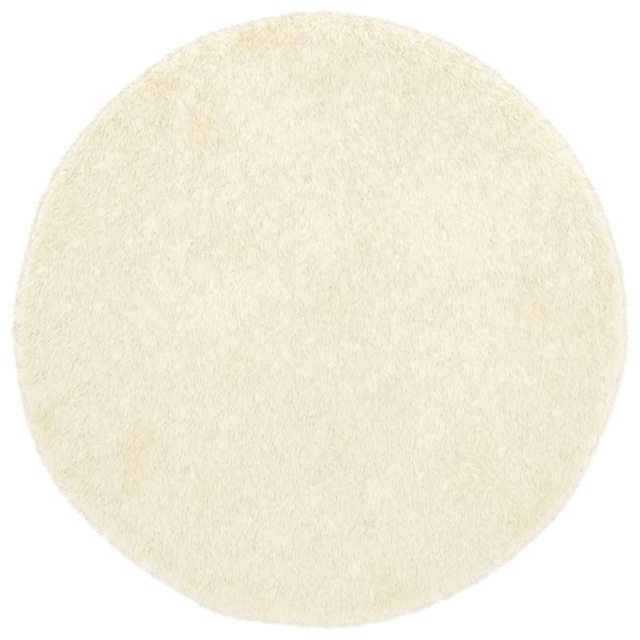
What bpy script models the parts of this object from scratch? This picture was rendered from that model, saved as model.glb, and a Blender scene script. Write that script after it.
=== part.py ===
"""A round ivory shag rug lying flat: a tufted pile with drooping rim locks on its ground cloth.

Metres, +Z up. The origin is the middle of the footprint, on the floor. The pile is combed
towards -Y, the near edge, so its locks reach furthest there and are shortest at the +Y edge.
"""
import math

import bmesh
import bpy
import numpy as np
from mathutils import Vector

# The rug as a whole.
RUG_RADIUS = 0.600        # mean reach of the pile
SEED = 11

# The ground cloth.
CLOTH_RADIUS = 0.556
CLOTH_THICKNESS = 0.002
CLOTH_SIDES = 96
SEAT_GAP = 0.0003         # between the ground cloth and the fused roots of the pile

# The pile's top: a honeycomb of tufts, each a crown among six creases.
TOP_RINGS = 27            # each ring of points has six more than the one inside it
CROWN_HEIGHT = 0.0350
CREASE_HEIGHT = 0.0262
CROWN_SCATTER = 0.0030
CREASE_SCATTER = 0.0012
CROWN_LEAN = 0.40         # how far the comb carries a crown, as a share of the points' pitch
TUFT_JITTER = 0.23        # sideways scatter of the points, as a share of their pitch
SHOULDER_WIDTH = 0.052    # over which the top rounds down to the rim wall

# The rim wall: two bands of root places, used alternately by the lower and the upper locks.
RIM_COLUMNS = 288
WALL_TOP = 0.0220
WALL_MIDDLE = 0.0122
WALL_BOTTOM = CLOTH_THICKNESS + SEAT_GAP
WALL_TOP_SETBACK = 0.0050
WALL_MIDDLE_SETBACK = 0.0015
WALL_BOTTOM_SETBACK = 0.0025
WALL_SCATTER = 0.0010

# The rim locks.
LOCK_LENGTH_FAR = 0.018   # at the +Y edge, where the pile lies back over the slab
LOCK_LENGTH_NEAR = 0.038  # at the -Y edge, where it is combed outwards
LOCK_OUTWARD = 0.85       # reach of a lock's tip past its root, as a share of its length
LOCK_ALONG_COMB = 0.50    # what the comb carries the tip along the rim, as the same share
LOCK_SWAY = 0.20          # scatter of the tips along the rim, as the same share
LOCK_LENGTH_SCATTER = 0.28
LOCK_GIRTH_SCATTER = 0.16
LOCK_STATIONS = (0.36, 0.72)      # share of the length at each cross-section
LOCK_WIDTHS = (0.0104, 0.0070)
LOWER_HEIGHTS = (0.0082, 0.0050)
UPPER_HEIGHTS = (0.0078, 0.0050)
UPPER_DROPS = (0.0008, 0.0050)    # of the middle line below its root
LOWER_TIP_HEIGHT = 0.0014
UPPER_TIP_HEIGHT = 0.0064

# Lean of the comb at the rug's left and right edges, in degrees from -Y.
COMB_LEAN_LEFT = 32.0
COMB_LEAN_RIGHT = 16.0

# Where the outline swells or draws in, by angle from +X.
RIM_SWELLS = [
    {"angle": 355, "reach": 0.0040, "half_width": 9},
    {"angle": 28, "reach": -0.0040, "half_width": 14},
    {"angle": 65, "reach": 0.0030, "half_width": 10},
    {"angle": 90, "reach": 0.0065, "half_width": 14},
    {"angle": 142, "reach": -0.0030, "half_width": 18},
    {"angle": 166, "reach": -0.0090, "half_width": 12},
    {"angle": 206, "reach": 0.0080, "half_width": 12},
    {"angle": 251, "reach": 0.0045, "half_width": 9},
    {"angle": 287, "reach": -0.0050, "half_width": 4},
    {"angle": 308, "reach": -0.0030, "half_width": 14},
    {"angle": 336, "reach": -0.0045, "half_width": 11},
]

# Where the tufts part and the pile sinks.
PARTINGS = [
    {"x": -0.312, "y": 0.464, "radius": 0.050, "depth": 0.005},
    {"x": -0.224, "y": 0.375, "radius": 0.060, "depth": 0.006},
    {"x": 0.151, "y": 0.444, "radius": 0.055, "depth": 0.005},
    {"x": -0.174, "y": 0.168, "radius": 0.045, "depth": 0.004},
    {"x": 0.111, "y": 0.208, "radius": 0.045, "depth": 0.004},
    {"x": 0.033, "y": 0.020, "radius": 0.055, "depth": 0.005},
    {"x": 0.427, "y": 0.011, "radius": 0.045, "depth": 0.005},
    {"x": -0.342, "y": -0.265, "radius": 0.060, "depth": 0.007},
    {"x": 0.289, "y": -0.275, "radius": 0.055, "depth": 0.007},
    {"x": 0.131, "y": -0.500, "radius": 0.045, "depth": 0.005},
]

# The six steps of a honeycomb, as its two coordinates.
HONEYCOMB_STEPS = ((1, 0), (0, 1), (-1, 1), (-1, 0), (0, -1), (1, -1))


def clear_scene():
    for obj in list(bpy.data.objects):
        bpy.data.objects.remove(obj, do_unlink=True)


def make_material(name, colour, roughness):
    material = bpy.data.materials.new(name)
    material.use_nodes = True
    shader = material.node_tree.nodes["Principled BSDF"]
    shader.inputs["Base Color"].default_value = (*colour, 1.0)
    shader.inputs["Roughness"].default_value = roughness
    shader.inputs["Metallic"].default_value = 0.0
    return material


def pile_material():
    return make_material("ivory_pile", (0.878, 0.815, 0.672), 0.95)


def cloth_material():
    return make_material("natural_cloth", (0.760, 0.700, 0.580), 0.90)


def add_object(name, bm, material):
    mesh = bpy.data.meshes.new(name)
    bmesh.ops.recalc_face_normals(bm, faces=bm.faces)
    bm.to_mesh(mesh)
    bm.free()
    mesh.materials.append(material)
    mesh.shade_smooth()
    mesh.set_sharp_from_angle(angle=math.radians(75))
    obj = bpy.data.objects.new(name, mesh)
    bpy.context.scene.collection.objects.link(obj)
    return obj


def polar(angle, radius, height):
    return Vector((radius * math.cos(angle), radius * math.sin(angle), height))


def comb_direction(x):
    """The way that the pile lies, fanning out towards the sides."""
    side = x / RUG_RADIUS
    most = COMB_LEAN_RIGHT if side > 0 else COMB_LEAN_LEFT
    lean = math.radians(most * side * abs(side))
    return Vector((math.sin(lean), -math.cos(lean), 0.0))


def outline_radius(angle):
    """How far the pile reaches at an angle in radians."""
    radius = RUG_RADIUS
    for swell in RIM_SWELLS:
        away = math.degrees(angle) - swell["angle"]
        away = (away + 180) % 360 - 180
        radius += swell["reach"] * math.exp(-((away / swell["half_width"]) ** 2))
    return radius


def lock_lie(angle):
    """For a rim lock: the way out, what the comb adds along the rim, and its mean length."""
    outward = polar(angle, 1.0, 0.0)
    comb = comb_direction(outward.x * RUG_RADIUS)
    with_comb = outward.dot(comb)
    along_rim = comb - outward * with_comb
    near_share = 0.5 + 0.5 * with_comb
    length = LOCK_LENGTH_FAR + (LOCK_LENGTH_NEAR - LOCK_LENGTH_FAR) * near_share
    return outward, along_rim, length


def wall_radius(angle):
    """The rim wall stands inside the outline by a lock's reach."""
    length = lock_lie(angle)[2]
    return outline_radius(angle) - LOCK_OUTWARD * length


def parting_depth(x, y):
    depth = 0.0
    for parting in PARTINGS:
        away = math.hypot(x - parting["x"], y - parting["y"]) / parting["radius"]
        depth += parting["depth"] * math.exp(-away ** 2)
    return depth


def is_crown(number, step):
    """Whether a ring's point is a tuft's crown: every third point of the honeycomb."""
    sector, past_corner = divmod(step, number)
    corner = HONEYCOMB_STEPS[sector]
    onward = HONEYCOMB_STEPS[(sector + 2) % 6]
    across = number * corner[0] + past_corner * onward[0]
    along = number * corner[1] + past_corner * onward[1]
    return (across - along) % 3 == 0


def top_point(number, step, rng):
    """A point of the top, by its ring and its step round the ring."""
    angle = math.tau * step / (6 * number)
    edge = wall_radius(angle) - WALL_TOP_SETBACK
    pitch = edge / (TOP_RINGS + 1)
    point = polar(angle, pitch * number, 0.0)
    point.x += TUFT_JITTER * pitch * rng.uniform(-1, 1)
    point.y += TUFT_JITTER * pitch * rng.uniform(-1, 1)
    if is_crown(number, step):
        if number < TOP_RINGS:
            point += CROWN_LEAN * pitch * comb_direction(point.x)
        height = CROWN_HEIGHT + CROWN_SCATTER * rng.uniform(-1, 1)
    else:
        height = CREASE_HEIGHT + CREASE_SCATTER * rng.uniform(-1, 1)
    height -= parting_depth(point.x, point.y)
    inset = min((edge - pitch * number) / SHOULDER_WIDTH, 1.0)
    shoulder = math.sqrt(1.0 - (1.0 - inset) ** 2)
    point.z = WALL_TOP + (height - WALL_TOP) * shoulder
    return point


def zip_rings(bm, inner, outer):
    """Triangles between two rings that need not have the same number of points."""
    i = 0
    j = 0
    while i < len(inner) or j < len(outer):
        here = inner[i % len(inner)]
        there = outer[j % len(outer)]
        if (i + 1) * len(outer) < (j + 1) * len(inner):
            i += 1
            bm.faces.new((here, there, inner[i % len(inner)]))
        else:
            j += 1
            bm.faces.new((here, there, outer[j % len(outer)]))


def build_top(bm, rng):
    """The tufted disc inside the rim wall. It returns its outermost ring."""
    centre = bm.verts.new((0.0, 0.0, CROWN_HEIGHT - parting_depth(0.0, 0.0)))
    ring = [bm.verts.new(top_point(1, step, rng)) for step in range(6)]
    for step in range(6):
        bm.faces.new((centre, ring[step], ring[(step + 1) % 6]))
    for number in range(2, TOP_RINGS + 1):
        outer = [bm.verts.new(top_point(number, step, rng)) for step in range(6 * number)]
        zip_rings(bm, ring, outer)
        ring = outer
    return ring


def build_wall(bm, rng):
    """Three rings of points round the rim: top, middle and bottom."""
    levels = (
        (WALL_TOP, WALL_TOP_SETBACK, WALL_SCATTER),
        (WALL_MIDDLE, WALL_MIDDLE_SETBACK, WALL_SCATTER),
        (WALL_BOTTOM, WALL_BOTTOM_SETBACK, 0.0),
    )
    rings = []
    for height, setback, scatter in levels:
        ring = []
        for column in range(RIM_COLUMNS):
            angle = math.tau * column / RIM_COLUMNS
            level = height + scatter * rng.uniform(-1, 1)
            ring.append(bm.verts.new(polar(angle, wall_radius(angle) - setback, level)))
        rings.append(ring)
    return rings


def build_lock(bm, corners, angle, is_upper, rng):
    """One tapered lock grown from a root place, its corners anticlockwise from outside."""
    outward, along_rim, length = lock_lie(angle)
    tangent = Vector((-outward.y, outward.x, 0.0))
    length *= 1.0 + LOCK_LENGTH_SCATTER * rng.uniform(-1, 1)
    girth = 1.0 + LOCK_GIRTH_SCATTER * rng.uniform(-1, 1)
    sway = LOCK_SWAY * rng.uniform(-1, 1)
    bend = length * (LOCK_ALONG_COMB * along_rim + sway * tangent)
    root = sum((corner.co for corner in corners), Vector()) / 4
    ring = list(corners)
    for index, station in enumerate(LOCK_STATIONS):
        heading = LOCK_OUTWARD * length * outward + 2.0 * station * bend
        side = 0.5 * girth * LOCK_WIDTHS[index] * Vector((-heading.y, heading.x, 0.0)).normalized()
        height = girth * (UPPER_HEIGHTS[index] if is_upper else LOWER_HEIGHTS[index])
        up = Vector((0.0, 0.0, 0.5 * height))
        middle = root + LOCK_OUTWARD * length * station * outward + station ** 2 * bend
        middle.z = root.z - UPPER_DROPS[index] if is_upper else up.z
        following = [
            bm.verts.new(middle - side - up),
            bm.verts.new(middle + side - up),
            bm.verts.new(middle + side + up),
            bm.verts.new(middle - side + up),
        ]
        for step in range(4):
            other = (step + 1) % 4
            bm.faces.new((ring[step], ring[other], following[other], following[step]))
        ring = following
    tip = root + LOCK_OUTWARD * length * outward + bend
    tip.z = UPPER_TIP_HEIGHT if is_upper else LOWER_TIP_HEIGHT
    point = bm.verts.new(tip)
    for step in range(4):
        bm.faces.new((ring[step], ring[(step + 1) % 4], point))


def build_rim(bm, rings, rng):
    """Locks from every other root place of each band, and plain wall between them."""
    for band, (above, below) in enumerate(zip(rings, rings[1:])):
        for column in range(RIM_COLUMNS):
            following = (column + 1) % RIM_COLUMNS
            corners = (below[column], below[following], above[following], above[column])
            if (column + band) % 2:
                bm.faces.new(corners)
            else:
                angle = math.tau * (column + 0.5) / RIM_COLUMNS
                build_lock(bm, corners, angle, band == 0, rng)


def build_pile():
    rng = np.random.default_rng(SEED)
    bm = bmesh.new()
    top_edge = build_top(bm, rng)
    rings = build_wall(bm, rng)
    zip_rings(bm, top_edge, rings[0])
    build_rim(bm, rings, rng)
    bm.faces.new(rings[-1])
    return add_object("pile", bm, pile_material())


def build_backing():
    bm = bmesh.new()
    bmesh.ops.create_cone(
        bm,
        cap_ends=True,
        segments=CLOTH_SIDES,
        radius1=CLOTH_RADIUS,
        radius2=CLOTH_RADIUS,
        depth=CLOTH_THICKNESS,
    )
    bmesh.ops.translate(bm, verts=bm.verts, vec=(0.0, 0.0, 0.5 * CLOTH_THICKNESS))
    return add_object("backing", bm, cloth_material())


def main():
    clear_scene()
    rug = bpy.data.objects.new("rug", None)
    bpy.context.scene.collection.objects.link(rug)
    for piece in (build_backing(), build_pile()):
        piece.parent = rug


main()
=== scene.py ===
import math

import bpy
import numpy as np
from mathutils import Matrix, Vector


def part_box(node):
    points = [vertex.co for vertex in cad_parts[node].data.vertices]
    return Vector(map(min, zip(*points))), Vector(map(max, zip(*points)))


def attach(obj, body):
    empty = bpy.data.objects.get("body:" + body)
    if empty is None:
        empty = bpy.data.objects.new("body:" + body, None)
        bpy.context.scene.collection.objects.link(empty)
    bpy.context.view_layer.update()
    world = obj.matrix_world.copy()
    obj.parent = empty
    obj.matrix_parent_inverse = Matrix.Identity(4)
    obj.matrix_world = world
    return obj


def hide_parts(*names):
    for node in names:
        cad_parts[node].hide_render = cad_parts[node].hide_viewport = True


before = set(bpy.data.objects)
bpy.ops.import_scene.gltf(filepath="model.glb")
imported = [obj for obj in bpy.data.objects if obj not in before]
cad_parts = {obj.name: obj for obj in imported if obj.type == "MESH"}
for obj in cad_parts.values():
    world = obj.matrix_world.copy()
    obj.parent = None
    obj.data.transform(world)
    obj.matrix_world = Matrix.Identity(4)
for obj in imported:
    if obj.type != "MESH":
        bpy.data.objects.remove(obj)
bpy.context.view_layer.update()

clothLow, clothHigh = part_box("backing")
clothRadius = 0.5 * (clothHigh.x - clothLow.x)
clothTop = clothHigh.z

seeds = {"draws": 7, "lumps": 3, "tufts": 4, "comb": 5, "outline": 6, "ruffled": 8, "yellow": 10}
random = np.random.default_rng(seeds["draws"])

# The rug's shape, in metres and degrees, seen from above with the far edge at +Y.
rug = {
    "reach": 0.6024,         # mean reach of the pile
    "height": 0.0312,        # of the combed surface
    "shoulderFar": 0.070,    # over which it rounds down at the far rim
    "shoulderNear": 0.100,   # and at the near rim, where the comb draws it out
    "bulge": 1.6,            # roundness of that shoulder, 2 being an ellipse
    "lumpRise": 0.0011,      # how far the broad lumps rise, and how wide they are
    "lumpSize": 0.085,
    "tuftRise": 0.0004,      # the same for the tufts on them
    "tuftSize": 0.038,
    "edgeRise": 0.0007,      # how far the outline wanders in and out
    "edgeSize": 0.034,
    "leanLeft": 32,          # how the comb fans out at the sides, from -Y
    "leanRight": 17,
    "fanFrom": -0.16,        # y above which it fans out to the right, and how gently
    "fanBlend": 0.07,
    "leanStray": 5,          # how far it strays everywhere, and how broadly
    "straySize": 0.16,
    "ruffled": 0.42,         # how much more ruffled it is toward one side
    "ruffledSide": 118,
    "ruffledSize": 0.07,     # of the areas that are smoother and more ruffled
    "ruffledLimits": (0.25, 2.2),
}

rimSwells = [  # angle from +X, swell in metres, half width in degrees
    {"angle": 354, "reach": 0.0048, "half": 9},
    {"angle": 24, "reach": -0.0030, "half": 12},
    {"angle": 47, "reach": -0.0048, "half": 9},
    {"angle": 65, "reach": 0.0015, "half": 9},
    {"angle": 90, "reach": 0.0062, "half": 13},
    {"angle": 113, "reach": 0.0040, "half": 6},
    {"angle": 140, "reach": -0.0062, "half": 20},
    {"angle": 167, "reach": -0.0080, "half": 10},
    {"angle": 207, "reach": 0.0092, "half": 12},
    {"angle": 239, "reach": -0.0025, "half": 7},
    {"angle": 251, "reach": 0.0098, "half": 7},
    {"angle": 277, "reach": 0.0036, "half": 13},
    {"angle": 308, "reach": 0.0006, "half": 8},
    {"angle": 321, "reach": 0.0042, "half": 7},
    {"angle": 337, "reach": -0.0030, "half": 9},
]

partings = [  # where the pile opens a little
    {"x": -0.312, "y": 0.464, "radius": 0.038, "depth": 0.003},
    {"x": -0.224, "y": 0.375, "radius": 0.045, "depth": 0.004},
    {"x": 0.003, "y": 0.483, "radius": 0.034, "depth": 0.002},
    {"x": 0.151, "y": 0.444, "radius": 0.036, "depth": 0.003},
    {"x": 0.111, "y": 0.188, "radius": 0.034, "depth": 0.002},
    {"x": 0.033, "y": 0.030, "radius": 0.042, "depth": 0.003},
    {"x": 0.427, "y": 0.011, "radius": 0.032, "depth": 0.003},
    {"x": -0.342, "y": -0.265, "radius": 0.040, "depth": 0.004},
    {"x": 0.289, "y": -0.285, "radius": 0.036, "depth": 0.004},
    {"x": 0.131, "y": -0.521, "radius": 0.034, "depth": 0.003},
]

yellowsAndPartingShade = [  # where the pile is painted yellower or paler; the strongest yellow patches lie in the partings, where they are painted shade
    {"x": -0.088, "y": 0.562, "radius": 0.042, "yellow": 11},
    {"x": -0.135, "y": 0.555, "radius": 0.034, "yellow": 7},
    {"x": 0.000, "y": 0.474, "radius": 0.034, "yellow": 7},
    {"x": 0.062, "y": 0.518, "radius": 0.038, "yellow": 4},
    {"x": 0.151, "y": 0.444, "radius": 0.032, "yellow": 4},
    {"x": 0.205, "y": 0.464, "radius": 0.032, "yellow": 5},
    {"x": 0.255, "y": 0.498, "radius": 0.036, "yellow": 3.5},
    {"x": 0.386, "y": 0.405, "radius": 0.036, "yellow": 4},
    {"x": -0.315, "y": 0.458, "radius": 0.040, "yellow": 10},
    {"x": -0.224, "y": 0.372, "radius": 0.032, "yellow": 12},
    {"x": -0.212, "y": 0.430, "radius": 0.024, "yellow": 5},
    {"x": -0.412, "y": 0.386, "radius": 0.026, "yellow": 4},
    {"x": -0.357, "y": 0.340, "radius": 0.030, "yellow": 5},
    {"x": -0.361, "y": 0.270, "radius": 0.028, "yellow": 4},
    {"x": -0.485, "y": 0.208, "radius": 0.036, "yellow": 6},
    {"x": -0.534, "y": 0.153, "radius": 0.028, "yellow": 5},
    {"x": -0.190, "y": 0.164, "radius": 0.028, "yellow": 4},
    {"x": -0.135, "y": 0.150, "radius": 0.028, "yellow": 4},
    {"x": 0.106, "y": 0.180, "radius": 0.028, "yellow": 6},
    {"x": 0.078, "y": 0.148, "radius": 0.034, "yellow": 3.5},
    {"x": 0.033, "y": 0.030, "radius": 0.040, "yellow": 4},
    {"x": -0.158, "y": -0.088, "radius": 0.028, "yellow": 5},
    {"x": 0.410, "y": 0.078, "radius": 0.030, "yellow": 4},
    {"x": 0.432, "y": 0.012, "radius": 0.032, "yellow": 8},
    {"x": 0.526, "y": -0.008, "radius": 0.030, "yellow": 8},
    {"x": 0.574, "y": 0.078, "radius": 0.034, "yellow": 6},
    {"x": 0.476, "y": -0.097, "radius": 0.034, "yellow": 3.5},
    {"x": -0.541, "y": -0.200, "radius": 0.032, "yellow": 10},
    {"x": -0.346, "y": -0.240, "radius": 0.036, "yellow": 12},
    {"x": -0.365, "y": -0.306, "radius": 0.036, "yellow": 9},
    {"x": -0.462, "y": -0.294, "radius": 0.034, "yellow": 4},
    {"x": -0.222, "y": -0.334, "radius": 0.034, "yellow": 5},
    {"x": -0.145, "y": -0.331, "radius": 0.034, "yellow": 4},
    {"x": -0.072, "y": -0.182, "radius": 0.034, "yellow": 3},
    {"x": 0.040, "y": -0.235, "radius": 0.026, "yellow": 4},
    {"x": 0.000, "y": -0.353, "radius": 0.028, "yellow": 3.5},
    {"x": -0.018, "y": -0.442, "radius": 0.026, "yellow": 4},
    {"x": -0.186, "y": -0.527, "radius": 0.034, "yellow": 3.5},
    {"x": 0.297, "y": -0.304, "radius": 0.036, "yellow": 10},
    {"x": 0.305, "y": -0.245, "radius": 0.028, "yellow": 4},
    {"x": 0.356, "y": -0.328, "radius": 0.024, "yellow": 5},
    {"x": 0.444, "y": -0.324, "radius": 0.034, "yellow": 8},
    {"x": 0.401, "y": -0.386, "radius": 0.036, "yellow": 9},
    {"x": 0.150, "y": -0.538, "radius": 0.036, "yellow": 8},
    {"x": 0.122, "y": -0.492, "radius": 0.026, "yellow": 4},
    {"x": -0.190, "y": 0.040, "radius": 0.070, "yellow": -5},
    {"x": -0.312, "y": 0.048, "radius": 0.050, "yellow": -4},
    {"x": 0.279, "y": 0.190, "radius": 0.110, "yellow": -5},
    {"x": 0.023, "y": 0.188, "radius": 0.060, "yellow": -5},
    {"x": -0.146, "y": 0.470, "radius": 0.040, "yellow": -3},
    {"x": -0.036, "y": 0.350, "radius": 0.080, "yellow": -2.5},
    {"x": 0.220, "y": -0.100, "radius": 0.100, "yellow": -2.5},
    {"x": -0.100, "y": -0.400, "radius": 0.060, "yellow": -2},
]

paintedLightAndShade = [  # painted light and shade: where the pile is painted lighter or darker, besides what the yellow does
    {"x": -0.204, "y": 0.533, "radius": 0.060, "tone": 3},
    {"x": -0.135, "y": 0.434, "radius": 0.070, "tone": 3.5},
    {"x": -0.096, "y": 0.316, "radius": 0.080, "tone": 2.2},
    {"x": -0.056, "y": 0.139, "radius": 0.080, "tone": 1},
    {"x": -0.194, "y": 0.010, "radius": 0.090, "tone": 3},
    {"x": -0.098, "y": 0.084, "radius": 0.030, "tone": 3},
    {"x": 0.259, "y": 0.188, "radius": 0.100, "tone": 2.5},
    {"x": 0.308, "y": -0.029, "radius": 0.090, "tone": 2.5},
    {"x": 0.320, "y": -0.120, "radius": 0.050, "tone": 1.5},
    {"x": 0.476, "y": 0.316, "radius": 0.070, "tone": 3.5},
    {"x": 0.218, "y": -0.216, "radius": 0.040, "tone": 3},
    {"x": 0.112, "y": -0.353, "radius": 0.034, "tone": 3},
    {"x": -0.028, "y": -0.393, "radius": 0.026, "tone": 3},
    {"x": 0.170, "y": 0.448, "radius": 0.050, "tone": -1.5},
    {"x": 0.260, "y": 0.370, "radius": 0.060, "tone": -1.5},
    {"x": 0.011, "y": 0.470, "radius": 0.040, "tone": -1},
    {"x": -0.186, "y": 0.159, "radius": 0.030, "tone": -1.5},
    {"x": -0.420, "y": 0.110, "radius": 0.070, "tone": -1.5},
    {"x": -0.529, "y": -0.206, "radius": 0.040, "tone": -1.5},
    {"x": -0.332, "y": -0.220, "radius": 0.028, "tone": -2.5},
    {"x": -0.402, "y": -0.330, "radius": 0.036, "tone": -2.5},
    {"x": -0.430, "y": -0.270, "radius": 0.090, "tone": -1.2},
    {"x": 0.125, "y": -0.147, "radius": 0.060, "tone": -4},
    {"x": 0.060, "y": -0.010, "radius": 0.050, "tone": -2},
    {"x": 0.078, "y": 0.140, "radius": 0.028, "tone": -1.2},
    {"x": -0.032, "y": -0.186, "radius": 0.024, "tone": -3.5},
    {"x": 0.033, "y": -0.275, "radius": 0.050, "tone": -3.2},
    {"x": 0.265, "y": -0.282, "radius": 0.028, "tone": -3},
    {"x": 0.090, "y": -0.402, "radius": 0.024, "tone": -4},
    {"x": 0.411, "y": 0.066, "radius": 0.030, "tone": -3},
    {"x": 0.476, "y": -0.206, "radius": 0.070, "tone": -1.5},
    {"x": 0.340, "y": -0.413, "radius": 0.080, "tone": -1.5},
    {"x": -0.190, "y": -0.372, "radius": 0.070, "tone": -1.5},
]

combTurns = [  # where the comb strays, degrees, plus to the right going down
    {"x": -0.110, "y": 0.560, "radius": 0.050, "turn": -26},
    {"x": 0.117, "y": 0.560, "radius": 0.060, "turn": 28},
    {"x": 0.350, "y": 0.455, "radius": 0.060, "turn": 18},
    {"x": 0.030, "y": 0.343, "radius": 0.080, "turn": 18},
    {"x": 0.460, "y": 0.343, "radius": 0.050, "turn": 34},
    {"x": -0.454, "y": 0.229, "radius": 0.050, "turn": -26},
    {"x": 0.003, "y": 0.001, "radius": 0.050, "turn": -20},
    {"x": -0.111, "y": -0.113, "radius": 0.060, "turn": -14},
    {"x": -0.340, "y": -0.228, "radius": 0.060, "turn": -18},
    {"x": 0.289, "y": -0.268, "radius": 0.028, "turn": 95},
    {"x": -0.335, "y": -0.290, "radius": 0.030, "turn": 50},
    {"x": -0.224, "y": 0.380, "radius": 0.035, "turn": 45},
    {"x": 0.100, "y": 0.215, "radius": 0.030, "turn": -50},
]


def wavy(x, y, size, seed):
    # smooth noise of about unit spread, as a sum of waves that are about size long
    waves = np.random.default_rng(seed)
    total = np.zeros_like(x)
    count, shortest, longest = 16, 0.7, 1.6
    for step in range(count):
        heading = math.pi * (step + waves.uniform(0, 1)) / count
        number = math.tau / (size * waves.uniform(shortest, longest))
        phase = waves.uniform(0, math.tau)
        total += np.cos(number * (x * math.cos(heading) + y * math.sin(heading)) + phase)
    return total * math.sqrt(2 / count)


def patches(table, key, x, y):
    total = np.zeros_like(x)
    for row in table:
        away = ((x - row["x"]) ** 2 + (y - row["y"]) ** 2) / row["radius"] ** 2
        total += row[key] * np.exp(-away)
    return total


def outlineAt(angle):
    reach = np.full_like(angle, rug["reach"])
    for row in rimSwells:
        away = (np.degrees(angle) - row["angle"] + 180) % 360 - 180
        reach += row["reach"] * np.exp(-((away / row["half"]) ** 2))
    x, y = rug["reach"] * np.cos(angle), rug["reach"] * np.sin(angle)
    return reach + rug["edgeRise"] * wavy(x, y, rug["edgeSize"], seeds["outline"])


def insetAt(x, y):
    # how far a point lies inside the outline
    return outlineAt(np.arctan2(y, x)) - np.hypot(x, y)


def surfaceAt(x, y):
    # height of the combed surface, rounding down to nothing at the outline
    crown = rug["height"] - patches(partings, "depth", x, y)
    crown = crown + rug["lumpRise"] * wavy(x, y, rug["lumpSize"], seeds["lumps"])
    crown = crown + rug["tuftRise"] * wavy(x, y, rug["tuftSize"], seeds["tufts"])
    fromMiddle = np.maximum(np.hypot(x, y), 0.001)       # never nothing, as it divides
    nearShare = 0.5 - 0.5 * y / fromMiddle
    shoulder = rug["shoulderFar"] + (rug["shoulderNear"] - rug["shoulderFar"]) * nearShare
    share = np.clip(insetAt(x, y) / shoulder, 0, 1)
    return crown * (1 - (1 - share) ** rug["bulge"]) ** (1 / rug["bulge"])


def normalAt(x, y):
    # of the combed surface, whose rim counts as no steeper than this slope
    step, steepest = 0.002, 1.6
    slopeX = (surfaceAt(x + step, y) - surfaceAt(x - step, y)) / (2 * step)
    slopeY = (surfaceAt(x, y + step) - surfaceAt(x, y - step)) / (2 * step)
    calm = np.minimum(1, steepest / np.maximum(np.hypot(slopeX, slopeY), 1e-6))
    return unit(np.stack([-slopeX * calm, -slopeY * calm, np.ones_like(x)], axis=-1))


def leanAt(x, y):
    # the comb's lean from -Y in radians, plus to the right
    side = x / rug["reach"]
    upper = 1 / (1 + np.exp(-(y - rug["fanFrom"]) / rug["fanBlend"]))
    fan = np.where(side < 0, -rug["leanLeft"] * side ** 2, rug["leanRight"] * side * upper)
    stray = rug["leanStray"] * wavy(x, y, rug["straySize"], seeds["comb"])
    return np.radians(fan + patches(combTurns, "turn", x, y) + stray)


class Value:
    # a shader socket, so that sums on it add Math nodes
    def __init__(self, maker, socket):
        self.maker = maker
        self.socket = socket

    def maths(self, operation, first, second):
        return self.maker.add("ShaderNodeMath", {"operation": operation}, {0: first, 1: second})

    def __add__(self, other):
        return self.maths("ADD", self, other)

    __radd__ = __add__

    def __mul__(self, other):
        return self.maths("MULTIPLY", self, other)

    __rmul__ = __mul__

    def __sub__(self, other):
        return self.maths("SUBTRACT", self, other)

    def __rsub__(self, other):
        return self.maths("SUBTRACT", other, self)


class Material:
    def __init__(self, name):
        self.material = bpy.data.materials.new(name)
        self.material.use_nodes = True
        self.tree = self.material.node_tree
        self.tree.nodes.clear()

    def add(self, kind, settings, sockets, output=0):
        # settings come first, because some of them change which sockets there are
        node = self.tree.nodes.new(kind)
        for key, setting in settings.items():
            setattr(node, key, setting)
        for key, value in sockets.items():
            socket = self.findSocket(node.inputs, key)
            if isinstance(value, Value):
                self.tree.links.new(value.socket, socket)
            else:
                socket.default_value = value
        return Value(self, self.findSocket(node.outputs, output))

    def findSocket(self, sockets, key):
        shown = [socket for socket in sockets if socket.enabled]
        if isinstance(key, int):
            return shown[key]
        return next(socket for socket in shown if socket.name == key)

    def attribute(self, name):
        return self.add("ShaderNodeAttribute", {"attribute_name": name}, {}, "Fac")

    def mix(self, first, second, share):
        sockets = {"Factor": share, "A": first, "B": second}
        return self.add("ShaderNodeMix", {"data_type": "RGBA"}, sockets)

    def brighten(self, colour, times):
        return self.add("ShaderNodeVectorMath", {"operation": "SCALE"}, {0: colour, "Scale": times})

    def noise(self, place, detail):
        return self.add("ShaderNodeTexNoise", {}, {"Vector": place, "Scale": 1, "Detail": detail})

    def bump(self, height, strength, distance):
        sockets = {"Height": height, "Strength": strength, "Distance": distance}
        return self.add("ShaderNodeBump", {}, sockets)

    def finish(self, fixed, varying):
        # fixed numbers sit on the shader's own sockets
        surface = self.add("ShaderNodeBsdfPrincipled", {}, {**fixed, **varying})
        output = self.tree.nodes.new("ShaderNodeOutputMaterial")
        self.tree.links.new(surface.socket, output.inputs["Surface"])
        return self.material


yarn = {
    "pale": (0.975, 0.923, 0.820, 1),
    "yellow": (0.939, 0.870, 0.644, 1),
    "outer": (0.996, 0.962, 0.880, 1),      # painted light on the thin tips at the outline, paler against the shade at the rim
    "outerWidth": 0.014,     # over which that fades inward
    "levels": 17,            # of yellowness from pale to yellow, as the table above counts them
    "usual": 0.25,           # share of yellow where nothing else is said
    "rimYellow": 3.5,        # levels that the rim adds
    "rimWidth": 0.060,
    "blotch": 0.7,           # levels by which it varies at random, and how much more at the rim
    "rimBlotch": 1.6,
    "blotchSize": 0.060,
    "each": 0.4,             # and from lock to lock
    "tintLimits": (-11, 8),  # of a lock's tone
    "paintedRootShade": 1.0,         # painted shade: brightness of a lock's root beside its tip, 1 painting none
    "toneShare": 0.006,      # brightness for a tint of 1
    "fibreShare": 0.06,      # how much the fibres vary it
    "fibres": (480, 80, 1),  # to the metre, across and along a lock
    "fibreDetail": 3,
    "fibreBump": 0.35,
    "fibreDepth": 0.0004,
    "roughness": 0.80,
    "roughShare": 0.2,       # how much the fibres vary that
}


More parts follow.
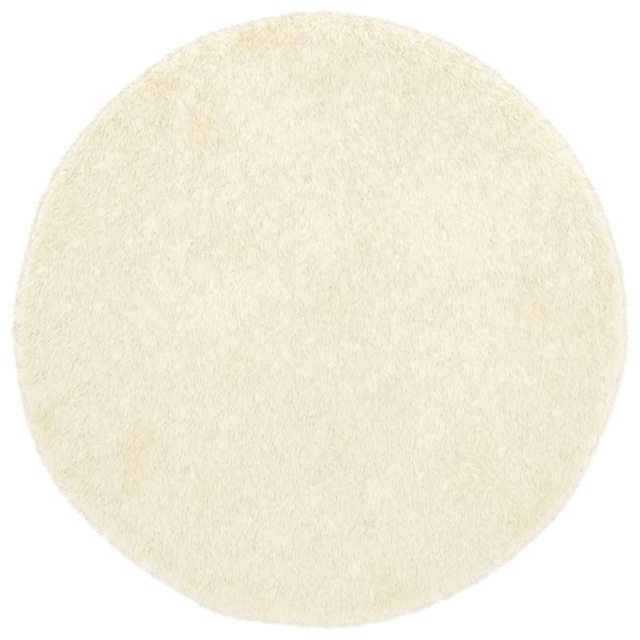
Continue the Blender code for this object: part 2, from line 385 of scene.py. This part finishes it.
def yarnMaterial():
    m = Material("ivory_yarn")
    strand = m.add("ShaderNodeUVMap", {"uv_map": "strand"}, {})
    fine = m.add("ShaderNodeMapping", {}, {"Vector": strand, "Scale": yarn["fibres"]})
    fibres = m.noise(fine, yarn["fibreDetail"])
    colour = m.mix(yarn["pale"], yarn["yellow"], m.attribute("yellow"))
    # painted light: the tips at the outline turn paler
    colour = m.mix(colour, yarn["outer"], m.attribute("outer"))
    # painted shade toward the roots, none while it is 1
    times = yarn["paintedRootShade"] + (1 - yarn["paintedRootShade"]) * m.attribute("along")
    times = times + m.attribute("tint") * yarn["toneShare"] + (fibres - 0.5) * yarn["fibreShare"]
    colour = m.brighten(colour, times)
    rough = yarn["roughness"] + (fibres - 0.5) * yarn["roughShare"]
    bump = m.bump(fibres, yarn["fibreBump"], yarn["fibreDepth"])
    return m.finish({}, {"Base Color": colour, "Roughness": rough, "Normal": bump})


def makeMesh(name, points, triangles, material, creaseAngle):
    mesh = bpy.data.meshes.new(name)
    mesh.vertices.add(len(points))
    mesh.vertices.foreach_set("co", points.astype(np.float32).ravel())
    mesh.loops.add(3 * len(triangles))
    mesh.loops.foreach_set("vertex_index", triangles.astype(np.int32).ravel())
    mesh.polygons.add(len(triangles))
    mesh.polygons.foreach_set("loop_start", np.arange(0, 3 * len(triangles), 3, dtype=np.int32))
    mesh.update(calc_edges=True)
    mesh.shade_smooth()
    mesh.set_sharp_from_angle(angle=math.radians(creaseAngle))
    mesh.materials.append(material)
    piece = bpy.data.objects.new(name, mesh)
    bpy.context.scene.collection.objects.link(piece)
    return piece


def setPointValues(piece, name, values):
    layer = piece.data.attributes.new(name, "FLOAT", "POINT")
    layer.data.foreach_set("value", values.astype(np.float32).ravel())


def setCornerMap(piece, name, uvs):
    layer = piece.data.uv_layers.new(name=name)
    layer.data.foreach_set("uv", uvs.astype(np.float32).ravel())


def unit(vectors):
    return vectors / np.maximum(np.linalg.norm(vectors, axis=-1, keepdims=True), 1e-9)


shape = {
    "stations": np.array([0.0, 0.42, 0.78, 1.0]),   # share of a lock's run
    "taper": np.array([0.85, 1.0, 0.80, 0.0]),      # share of its width there
    "gatherPower": 1.5,      # how late along its run a lock is drawn into its clump
    "rootPower": 2.1,        # how soon its root comes up out of the pile
    "tipPower": 3,           # how late its tip is tucked in
    "creaseAngle": 110,      # keeps the two upper faces smooth and their lower edges sharp
    "girth": 2.6,            # distance round a lock, as a share of its width
    "floorGap": 0.0002,      # under every corner, and then under the middle line
    "lowest": 0.0014,
    "perPiece": 12200,       # locks, which keeps a piece under 200,000 triangles
    "bakeMargin": 0.06,      # empty border of a lock's own cell on the map for baking
    "mapSpread": 9,          # metres over which the locks are strewn on the fibres' map
}


def lockFaces(rings):
    # one lock's triangles and their places on the unit square of its map
    tip = 3 * rings
    triangles = [(0, 2, 1)]
    uvs = [((0.02, 0.0), (0.30, 0.0), (0.16, 0.04))]
    firstRow = 0.06          # the root's own triangle lies below it
    rows = np.linspace(firstRow, 1.0, rings + 1)
    for ring in range(rings):
        low, high = rows[ring], rows[ring + 1]
        for side in range(3):
            a, b = 3 * ring + side, 3 * ring + (side + 1) % 3
            left, right = side / 3, (side + 1) / 3
            if ring == rings - 1:
                triangles.append((a, b, tip))
                uvs.append(((left, low), (right, low), (0.5 * (left + right), high)))
            else:
                triangles += [(a, b, b + 3), (a, b + 3, a + 3)]
                uvs.append(((left, low), (right, low), (right, high)))
                uvs.append(((left, low), (right, high), (left, high)))
    return np.array(triangles), np.array(uvs)


def lockPiece(name, strands, material):
    # three-sided tapered locks along their paths, each closed at its root and pointed at its tip
    paths, widths, depths = strands["path"], strands["width"], strands["depth"]
    count, stations = paths.shape[:2]
    rings = stations - 1
    tangent = unit(np.gradient(paths, axis=1))
    side = unit(np.cross(tangent, strands["normal"]))    # a lock lies flat on the slope below it
    up = np.cross(side, tangent)
    cos = np.cos(strands["roll"])[:, None, None]
    sin = np.sin(strands["roll"])[:, None, None]
    side, up = side * cos + up * sin, up * cos - side * sin
    half = 0.5 * (widths[:, None] * shape["taper"])[..., None] * side
    third = (depths[:, None] * shape["taper"])[..., None] * up / 3
    corners = np.stack([paths - half - third, paths + half - third, paths + 2 * third], axis=2)
    corners[..., 2] = np.maximum(corners[..., 2], shape["floorGap"])
    body = corners[:, :rings].reshape(count, rings * 3, 3)
    points = np.concatenate([body, paths[:, -1:]], axis=1)
    each = rings * 3 + 1

    triangles, uvs = lockFaces(rings)
    every = (triangles[None] + each * np.arange(count)[:, None, None]).reshape(-1, 3)
    piece = makeMesh(name, points.reshape(-1, 3), every, material, shape["creaseAngle"])

    cells = math.ceil(math.sqrt(count))
    index = np.arange(count)
    corner = np.stack([index % cells, index // cells], axis=-1)[:, None, None, :]
    inCell = shape["bakeMargin"] + (1 - 2 * shape["bakeMargin"]) * uvs[None]
    setCornerMap(piece, "OFBake", (corner + inCell) / cells)
    length = np.linalg.norm(np.diff(paths, axis=1), axis=-1).sum(axis=1)
    size = np.stack([shape["girth"] * widths, length], axis=-1)[:, None, None, :]
    start = random.uniform(0, shape["mapSpread"], (count, 1, 1, 2))
    setCornerMap(piece, "strand", start + uvs[None] * size)

    def spread(stations):
        # a value for each point of a lock, out of one for each of its stations
        return np.concatenate([np.repeat(stations[:, :rings], 3, axis=1), stations[:, -1:]], axis=1)

    setPointValues(piece, "along", np.tile(spread(shape["stations"][None]), (count, 1)))
    setPointValues(piece, "tint", np.repeat(strands["tint"], each))
    setPointValues(piece, "yellow", np.repeat(strands["yellow"], each))
    setPointValues(piece, "outer", spread(strands["outer"]))
    return piece


def lattice(pitch, jitter, reach):
    # offset rows of scattered points that cover the rug
    rowShare = 0.866         # of the pitch, from row to row, as in a honeycomb
    rows = int(reach / (pitch * rowShare)) + 2
    columns = int(reach / pitch) + 2
    rowNumbers, columnNumbers = np.arange(-rows, rows + 1), np.arange(-columns, columns + 1)
    row, column = np.meshgrid(rowNumbers, columnNumbers, indexing="ij")
    x = (column + 0.5 * (row % 2)) * pitch
    y = row * pitch * rowShare
    x = x + jitter * pitch * random.uniform(-1, 1, x.shape)
    y = y + jitter * pitch * random.uniform(-1, 1, y.shape)
    return x.ravel(), y.ravel()


clumps = {
    "pitch": 0.0165,         # between neighbouring clumps of locks
    "jitter": 0.38,          # how far they lie off their places, as a share of the pitch
    "long": 3.0,             # how much longer than wide they are, along the comb
    "turn": 5,               # what the locks of a clump share: degrees, and the spread of
    "lift": 0.14,            # their lift, run and tone
    "run": 0.15,
    "tint": 0.2,
}

clumpX, clumpY = lattice(clumps["pitch"], clumps["jitter"], rug["reach"])
clumpLean = leanAt(clumpX, clumpY)


def nearestClump(x, y):
    # worked out a block at a time, which keeps the tables of distances small
    nearest = np.empty(len(x), int)
    block = 500
    sin, cos = np.sin(clumpLean), np.cos(clumpLean)
    for start in range(0, len(x), block):
        part = slice(start, start + block)
        awayX, awayY = x[part, None] - clumpX, y[part, None] - clumpY
        across, along = awayX * cos + awayY * sin, awayX * sin - awayY * cos
        nearest[part] = (across ** 2 + (along / clumps["long"]) ** 2).argmin(axis=1)
    return nearest


clumps["turns"] = random.normal(0, clumps["turn"], len(clumpX))
clumps["lifts"] = random.normal(0, clumps["lift"], len(clumpX))
clumps["runs"] = random.uniform(1 - clumps["run"], 1 + clumps["run"], len(clumpX))
clumps["tints"] = random.normal(0, clumps["tint"], len(clumpX))

rim = {
    "zone": 0.030,           # over which locks spill out to the outline
    "farZone": 0.014,        # and at the far rim, where the comb draws them back
    "fade": 3,               # how soon the spilling ends further in
    "farHold": 0.5,          # how much of it the far rim may hold back
    "raggedNear": 0.6,       # what the near rim adds to the scatter of the tips
    "share": 0.35,           # how far inside it the spilled locks may end
    "stopShare": 0.6,        # but no further than this share of the way to their roots
    "leastRoom": 0.002,
    "shortest": 0.009,       # run of a lock
    "muddle": 0.9,           # how much more the locks stray at the far rim
    "lateBend": 0.9,         # how much later they turn into the comb at the rim
    "calm": 0.4,             # how much flatter the locks lie at the outline
    "calmWidth": 0.050,
    "buried": 0.6,           # how much of their depth the roots keep there
    "deepest": 0.4,          # share of the pile's height that a root may go down
}


def roughAt(x, y, share):
    # how much the locks stray, 1 being the usual
    side = math.radians(rug["ruffledSide"])
    ruffled = rug["ruffled"] * (x * math.cos(side) + y * math.sin(side)) / rug["reach"]
    rough = 1 + ruffled + share * wavy(x, y, rug["ruffledSize"], seeds["ruffled"])
    return np.clip(rough, *rug["ruffledLimits"])


def wander(toClump, run, style):
    # how far each lock goes sideways: drawn into its clump, wobbling and bowed
    count = len(run)
    s = shape["stations"]
    gather = style["gather"] * toClump[:, None] * s ** shape["gatherPower"]
    phase = random.uniform(0, math.tau, count)[:, None]
    amount = style["wobble"] * random.uniform(*style["wobbleSpread"], count)[:, None]
    wobble = amount * (np.sin(phase + style["wobbleTurn"] * s) - np.sin(phase)) * s
    bow = (random.normal(0, style["bow"], count) * run)[:, None] * s ** 2
    return gather + wobble + bow


def layPlan(x, y, clump, inset, rough, style):
    # each lock as seen from above, and its run: out over the rim first, then along the comb
    count = len(x)
    s = shape["stations"]
    angle = np.arctan2(y, x)
    outward = np.stack([np.cos(angle), np.sin(angle)], axis=-1)
    far, near = np.clip(np.sin(angle), 0, 1), np.clip(-np.sin(angle), 0, 1)
    zone = rim["zone"] + (rim["farZone"] - rim["zone"]) * far
    muddle = 1 + rim["muddle"] * np.exp(-inset / rim["zone"]) * far
    turn = clumps["turns"][clump] + rough * muddle * random.normal(0, style["turn"], count)
    lean = leanAt(x, y) + np.radians(turn)
    comb = np.stack([np.sin(lean), -np.cos(lean)], axis=-1)
    sideways = np.stack([-comb[:, 1], comb[:, 0]], axis=-1)
    along = (comb * outward).sum(axis=-1)
    ragged = style["ragged"] * (1 + rim["raggedNear"] * near)
    stop = style["edge"] + ragged * np.abs(random.normal(0, 1, count))
    stop = stop + random.uniform(0, rim["share"], count) * inset
    room = np.maximum(inset - stop, rim["leastRoom"])

    spread = random.uniform(1 - style["runSpread"], 1 + style["runSpread"], count)
    run = style["run"] * clumps["runs"][clump] * spread
    toOutline = room / np.maximum(along, 0.05)   # along the comb, where that leads outward
    run = np.where(along > 0, np.minimum(run, toOutline), run)
    run = np.maximum(run, rim["shortest"])
    spill = 1 - (1 - s) ** 2                     # the way out comes first, the comb's pull later
    bend = style["bend"] + rim["lateBend"] * np.exp(-inset / rim["zone"])
    pull = s ** bend[:, None]
    spare = room[:, None] - along[:, None] * run[:, None] * pull[:, 1:]
    push = style["push"] * np.maximum((spare / spill[1:]).min(axis=1), 0)
    push = push * np.exp(-rim["fade"] * (np.maximum(inset - zone, 0) / zone) ** 2)
    push = push * (1 - rim["farHold"] * far * random.uniform(0, 1, count))

    toClump = (clumpX[clump] - x) * sideways[:, 0] + (clumpY[clump] - y) * sideways[:, 1]
    across = wander(toClump, run, style)
    px, py = (
        place[:, None] + comb[:, k, None] * run[:, None] * pull
        + outward[:, k, None] * push[:, None] * spill + sideways[:, k, None] * across
        for k, place in enumerate((x, y))
    )
    limit = outlineAt(np.arctan2(py, px)) - np.minimum(stop, rim["stopShare"] * inset)[:, None]
    inside = np.minimum(1, limit / np.maximum(np.hypot(px, py), 1e-6))
    return px * inside, py * inside, run


def liftPlan(px, py, clump, inset, rough, style):
    # each lock's middle line, from its root up into the combed surface and along it
    count = len(clump)
    s = shape["stations"]
    surface = surfaceAt(px, py)
    normal = normalAt(px, py)
    calm = rim["calm"] + (1 - rim["calm"]) * np.clip(inset / rim["calmWidth"], 0, 1)
    uneven = random.normal(0, style["liftSpread"], count) + clumps["lifts"][clump]
    lift = style["lift"] * rough * uneven
    depth = style["buried"] * np.clip(inset / rim["calmWidth"], rim["buried"], 1)
    buried = depth[:, None] * (1 - s) ** shape["rootPower"]
    tips = style["tipScatter"] * random.normal(0, 1, count) - style["tuck"]
    raised = style["raised"] + tips[:, None] * s ** shape["tipPower"]
    offset = (lift[:, None] + raised) * calm[:, None] - np.minimum(buried, rim["deepest"] * surface)
    path = np.stack([px, py, surface], axis=-1) + normal * offset[..., None]
    path[..., 2] = np.maximum(path[..., 2], shape["lowest"])
    return path, normal, calm


def colourLocks(px, py, clump, inset, rough, style):
    # each lock's tone, with painted light and shade, and its share of yellow, with painted shade in the
    # partings, taken where it shows
    count = len(clump)
    seenX, seenY = px[:, 1:3].mean(axis=1), py[:, 1:3].mean(axis=1)
    # painted light and shade from the table, and random tone from the clump
    tint = patches(paintedLightAndShade, "tone", seenX, seenY) + clumps["tints"][clump]
    tint = tint + rough * random.normal(0, style["tint"], count)
    atRim = np.exp(-inset / yarn["rimWidth"])
    # yellow patches, painted shade where they lie in the partings
    levels = patches(yellowsAndPartingShade, "yellow", seenX, seenY) + yarn["rimYellow"] * atRim
    blotch = yarn["blotch"] + yarn["rimBlotch"] * atRim
    levels = levels + blotch * wavy(seenX, seenY, yarn["blotchSize"], seeds["yellow"])
    levels = levels + random.normal(0, yarn["each"], count)
    yellow = yarn["usual"] + levels / yarn["levels"]
    return np.clip(tint, *yarn["tintLimits"]), np.clip(yellow, 0, 1)


def layLocks(x, y, style):
    # all that lockPiece needs for locks that are rooted at x, y
    clump = nearestClump(x, y)
    inset = insetAt(x, y)
    rough = roughAt(x, y, style["rough"])
    px, py, run = layPlan(x, y, clump, inset, rough, style)
    path, normal, calm = liftPlan(px, py, clump, inset, rough, style)
    size = random.uniform(*style["sizes"], len(x))
    size = size * np.clip(run / style["fullRun"], style["slimmest"], 1.0)
    tint, yellow = colourLocks(px, py, clump, inset, rough, style)
    return {
        "path": path,
        "normal": normal,
        "width": style["width"] * size,
        "depth": style["depth"] * size * calm,
        "roll": np.radians(random.normal(0, style["roll"], len(x))),
        "tint": tint,
        "yellow": yellow,
        # mask of the painted light on the tips, fading inward from the outline
        "outer": np.exp(-((np.maximum(insetAt(px, py), 0) / yarn["outerWidth"]) ** 2)),
    }


combed = {
    "pitch": 0.00510,        # between neighbouring roots
    "jitter": 0.42,          # how far they lie off their places, as a share of the pitch
    "inset": 0.010,          # of the outermost roots from the outline
    "edge": 0.0040,          # how far inside the outline the tips stay, beyond it if negative
    "ragged": 0.0030,        # and their scatter
    "run": 0.0220,           # how far a lock lies along the comb
    "runSpread": 0.2,
    "width": 0.0044,
    "depth": 0.0018,
    "sizes": (0.78, 1.2),    # of the finest and the coarsest lock
    "fullRun": 0.024,        # locks with a shorter run are slimmer, down to a share
    "slimmest": 0.62,
    "buried": 0.007,         # how deep its modelled root is under the surface
    "push": 1.0,             # how much of the way out to the outline it spills
    "gather": 0.14,          # how much of the way to its clump it is drawn
    "lift": 0.0006,          # how unevenly the locks lie in the surface
    "liftSpread": 0.7,
    "raised": 0.0,           # how far above it they lie
    "tipScatter": 0.0004,
    "tuck": 0.0010,          # how far the tips press down into the pile
    "wobble": 0.0016,        # how far a lock weaves, its least and most share, and how quickly
    "wobbleSpread": (0.3, 1.4),
    "wobbleTurn": 4.2,
    "bow": 0.10,             # how far it bends to one side, as a share of its run
    "bend": 1.0,             # how late it turns into the comb
    "turn": 7,               # how far it strays from the comb
    "rough": 0.45,           # how much smooth and ruffled areas differ
    "roll": 14,
    "tint": 4.0,
}

rimFill = {  # short locks that fill the rim
    **combed,
    "count": 3400,
    "from": 0.003,           # how far inside the outline their roots lie
    "to": 0.026,
    "edge": 0.0008,
    "ragged": 0.0022,
    "run": 0.016,
    "buried": 0.006,
    "turn": 20,
}

thatch = {  # locks over them that keep to the comb
    **combed,
    "count": 2600,
    "from": 0.010,
    "to": 0.052,
    "run": 0.018,
    "buried": 0.006,
    "push": 0.0,
    "gather": 0.0,
    "raised": 0.0003,
    "turn": 24,
}

fringe = {  # thin tips that soften the outline
    **combed,
    "count": 4200,
    "from": 0.003,
    "to": 0.012,
    "edge": -0.0105,
    "ragged": 0.0080,
    "run": 0.014,
    "width": 0.0020,
    "depth": 0.0007,
    "buried": 0.002,
    "gather": 0.0,
    "turn": 26,
}

strays = {  # single locks that lie askew on the rest
    **combed,
    "count": 900,
    "inset": 0.030,
    "run": 0.021,
    "width": 0.0030,
    "depth": 0.0012,
    "buried": 0.002,
    "push": 0.0,
    "gather": 0.0,
    "raised": 0.0010,
    "bow": 0.25,
    "turn": 42,
}


def chooseLocks():
    x, y = lattice(combed["pitch"], combed["jitter"], rug["reach"])
    keep = insetAt(x, y) > combed["inset"]
    groups = [layLocks(x[keep], y[keep], combed)]

    for style in (rimFill, thatch, fringe):
        count = style["count"]
        angle = (np.arange(count) + random.uniform(-0.5, 0.5, count)) * math.tau / count
        radius = outlineAt(angle) - random.uniform(style["from"], style["to"], count)
        groups.append(layLocks(radius * np.cos(angle), radius * np.sin(angle), style))

    angle = random.uniform(0, math.tau, strays["count"])
    radius = (rug["reach"] - strays["inset"]) * np.sqrt(random.uniform(0, 1, strays["count"]))
    groups.append(layLocks(radius * np.cos(angle), radius * np.sin(angle), strays))
    return {key: np.concatenate([group[key] for group in groups]) for key in groups[0]}


def buildLocks(material):
    strands = chooseLocks()
    order = np.argsort(-strands["path"][:, 0, 1])        # by rows, from the far edge to the near one
    pieces = []
    for start in range(0, len(order), shape["perPiece"]):
        part = order[start:start + shape["perPiece"]]
        name = f"pile_locks_{len(pieces) + 1}"
        pieces.append(lockPiece(name, {key: values[part] for key, values in strands.items()}, material))
    print("locks:", len(order), "in", len(pieces), "pieces")
    return pieces


roots = {
    "rings": 40,
    "around": 180,
    "crowd": 1.25,           # how much closer the rings lie toward the rim, 1 being even
    "under": 0.0028,         # how far the mass lies below the combed surface
    "underRim": 0.0012,      # and at the rim
    "rimWidth": 0.045,
    "inset": 0.0035,         # from the outline
    "overCloth": 0.0003,     # gap to the cloth below it
    "thinnest": 0.0006,
    "footInset": 0.004,      # how much further in it ends below, and over the cloth at most
    "dark": (0.975, 0.930, 0.825, 1),
    "light": (0.985, 0.945, 0.855, 1),
    "tufts": (420, 130, 300),
    "tuftDetail": 3,
    "tuftBump": 0.6,
    "tuftDepth": 0.0015,
    "roughness": 0.9,
}


def rootsMaterial():
    m = Material("pile_roots")
    place = m.add("ShaderNodeTexCoord", {}, {}, "Object")
    fine = m.add("ShaderNodeMapping", {}, {"Vector": place, "Scale": roots["tufts"]})
    tufts = m.noise(fine, roots["tuftDetail"])
    colour = m.mix(roots["dark"], roots["light"], tufts)
    bump = m.bump(tufts, roots["tuftBump"], roots["tuftDepth"])
    return m.finish({"Roughness": roots["roughness"]}, {"Base Color": colour, "Normal": bump})


def closedDisc(name, profile, top, bottom, material):
    # rings of points from the middle of the top round to the middle below, each ring (x, y, z) arrays
    creaseAngle = 40
    around = len(profile[0][0])
    points = [(0.0, 0.0, top)]
    for x, y, z in profile:
        points += list(zip(x, y, z))
    points.append((0.0, 0.0, bottom))
    last = 1 + (len(profile) - 1) * around
    triangles = []
    for step in range(around):
        after = (step + 1) % around
        triangles.append((0, 1 + step, 1 + after))
        for ring in range(len(profile) - 1):
            a, b = 1 + ring * around + step, 1 + ring * around + after
            triangles += [(a, a + around, b + around), (a, b + around, b)]
        triangles.append((last + step, len(points) - 1, last + after))
    return makeMesh(name, np.array(points), np.array(triangles), material, creaseAngle)


def buildRoots(material):
    # a lumpy disc that follows the combed surface from below and closes over the cloth
    angles = np.arange(roots["around"]) * math.tau / roots["around"]
    edge = outlineAt(angles) - roots["inset"]
    bottom = clothTop + roots["overCloth"]
    profile = []
    for ring in range(1, roots["rings"] + 1):
        share = 1 - (1 - ring / roots["rings"]) ** roots["crowd"]
        x, y = edge * share * np.cos(angles), edge * share * np.sin(angles)
        inward = np.clip(insetAt(x, y) / roots["rimWidth"], 0, 1)
        under = roots["underRim"] + (roots["under"] - roots["underRim"]) * inward
        profile.append((x, y, np.maximum(surfaceAt(x, y) - under, bottom + roots["thinnest"])))
    foot = np.minimum(edge - roots["footInset"], clothRadius)
    profile.append((foot * np.cos(angles), foot * np.sin(angles), np.full_like(angles, bottom)))
    crown = surfaceAt(np.zeros(1), np.zeros(1))[0] - roots["under"]
    piece = closedDisc("pile_roots", profile, crown, bottom, material)
    print("roots:", roots["rings"], "rings under the locks")
    return piece


cloth = {
    "hem": 0.018,            # width of the turned edge
    "around": 180,
    "recess": 0.0004,        # of the single cloth inside the hem, underneath
    "hemStep": 0.0008,       # over which that begins
    "rings": (0.30, 0.65),   # of points on the flat of it, as shares of the radius
    "dark": (0.60, 0.53, 0.41, 1),
    "light": (0.78, 0.72, 0.60, 1),
    "warp": 130,             # how fine the bands of the weave are, across and along
    "weft": 110,
    "unevenness": 0.6,
    "weaveBump": 0.6,
    "weaveDepth": 0.0005,
    "roughness": 0.85,
}


def clothMaterial():
    m = Material("ground_cloth")
    place = m.add("ShaderNodeTexCoord", {}, {}, "Object")

    def bands(direction, scale):
        settings = {"wave_type": "BANDS", "bands_direction": direction}
        sockets = {"Vector": place, "Scale": scale, "Distortion": cloth["unevenness"]}
        return m.add("ShaderNodeTexWave", settings, sockets)

    weave = bands("X", cloth["warp"]) * bands("Y", cloth["weft"])
    colour = m.mix(cloth["dark"], cloth["light"], weave)
    bump = m.bump(weave, cloth["weaveBump"], cloth["weaveDepth"])
    return m.finish({"Roughness": cloth["roughness"]}, {"Base Color": colour, "Normal": bump})


def buildCloth(material):
    # a flat disc, its underside stepped back inside the turned hem
    angles = np.arange(cloth["around"]) * math.tau / cloth["around"]
    high, recess = clothTop, cloth["recess"]
    inner = clothRadius - cloth["hem"]
    flat = [share * clothRadius for share in cloth["rings"]]
    steps = [(radius, high) for radius in flat]
    steps += [  # radius and height of the rounded edge
        (clothRadius - 0.0012, high),
        (clothRadius - 0.0003, high - 0.0004),
        (clothRadius, high - 0.0010),
        (clothRadius - 0.0003, 0.0004),
        (clothRadius - 0.0012, 0.0),
    ]
    steps += [(inner, 0.0), (inner - cloth["hemStep"], recess)]
    steps += [(radius, recess) for radius in reversed(flat)]
    profile = []
    for radius, height in steps:
        profile.append((radius * np.cos(angles), radius * np.sin(angles), np.full_like(angles, height)))
    piece = closedDisc("ground_cloth", profile, high, recess, material)
    print("ground cloth:", round(2 * clothRadius, 3), "m across")
    return piece


studio = {
    "floor": (0.97, 0.97, 0.97, 1),
    "floorHalf": 6,          # half its side
    "floorDrop": 0.0002,     # how far below the rug it lies
    "floorRoughness": 0.9,
    "floorGlow": 0.08,
    "fill": 0.908,           # the even light from all round
    "key": 12,               # the large lamp on the far side
    "keySize": 2.6,
    "keyPlace": (0.3, 1.2, 2.8),
    "bounces": 9,            # of light in the pale pile
    "camera": 3.0,           # height of the camera
    "sensor": 36,
    "pixel": 0.001973,       # metres of floor to a pixel of the photograph
    "centre": (319.3, 320.7),       # of the rug in the photograph, in pixels
    "frame": 640,
}


def floorMaterial():
    m = Material("pale_floor")
    fixed = {
        "Base Color": studio["floor"],
        "Roughness": studio["floorRoughness"],
        "Emission Color": (1, 1, 1, 1),
        "Emission Strength": studio["floorGlow"],
    }
    return m.finish(fixed, {})


def buildStudio():
    half = studio["floorHalf"]
    corners = [(-half, -half, 0), (half, -half, 0), (half, half, 0), (-half, half, 0)]
    mesh = bpy.data.meshes.new("floor")
    mesh.from_pydata(corners, [], [(0, 1, 2, 3)])
    mesh.materials.append(floorMaterial())
    floor = bpy.data.objects.new("floor", mesh)
    floor.location.z = -studio["floorDrop"]
    bpy.context.scene.collection.objects.link(floor)

    world = bpy.data.worlds.new("studio")
    world.use_nodes = True
    background = world.node_tree.nodes["Background"]
    background.inputs["Color"].default_value = (1, 1, 1, 1)
    background.inputs["Strength"].default_value = studio["fill"]
    bpy.context.scene.world = world

    light = bpy.data.lights.new("key", "AREA")
    light.shape = "DISK"
    light.size = studio["keySize"]
    light.energy = studio["key"]
    key = bpy.data.objects.new("key", light)
    key.location = studio["keyPlace"]
    key.rotation_euler = (-key.location).to_track_quat("-Z", "Y").to_euler()
    bpy.context.scene.collection.objects.link(key)
    bpy.context.scene.view_settings.view_transform = "Standard"
    bpy.context.scene.cycles.diffuse_bounces = studio["bounces"]
    print("studio: floor, fill and key")


def buildCamera():
    camera = bpy.data.objects.new("camera", bpy.data.cameras.new("camera"))
    bpy.context.scene.collection.objects.link(camera)
    middle = 0.5 * studio["frame"]
    right = (middle - studio["centre"][0]) * studio["pixel"]
    up = (studio["centre"][1] - middle) * studio["pixel"]
    camera.location = (right, up, studio["camera"])
    view = studio["frame"] * studio["pixel"]
    camera.data.sensor_width = studio["sensor"]
    camera.data.lens = studio["sensor"] * studio["camera"] / view
    bpy.context.scene.camera = camera
    print("camera:", studio["camera"], "m above the rug")


buildCamera()
buildStudio()
lockPieces = buildLocks(yarnMaterial())
rootMass = buildRoots(rootsMaterial())
groundCloth = buildCloth(clothMaterial())

for piece in lockPieces + [rootMass]:
    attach(piece, "root")
    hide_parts("pile")
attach(groundCloth, "root")
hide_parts("backing")
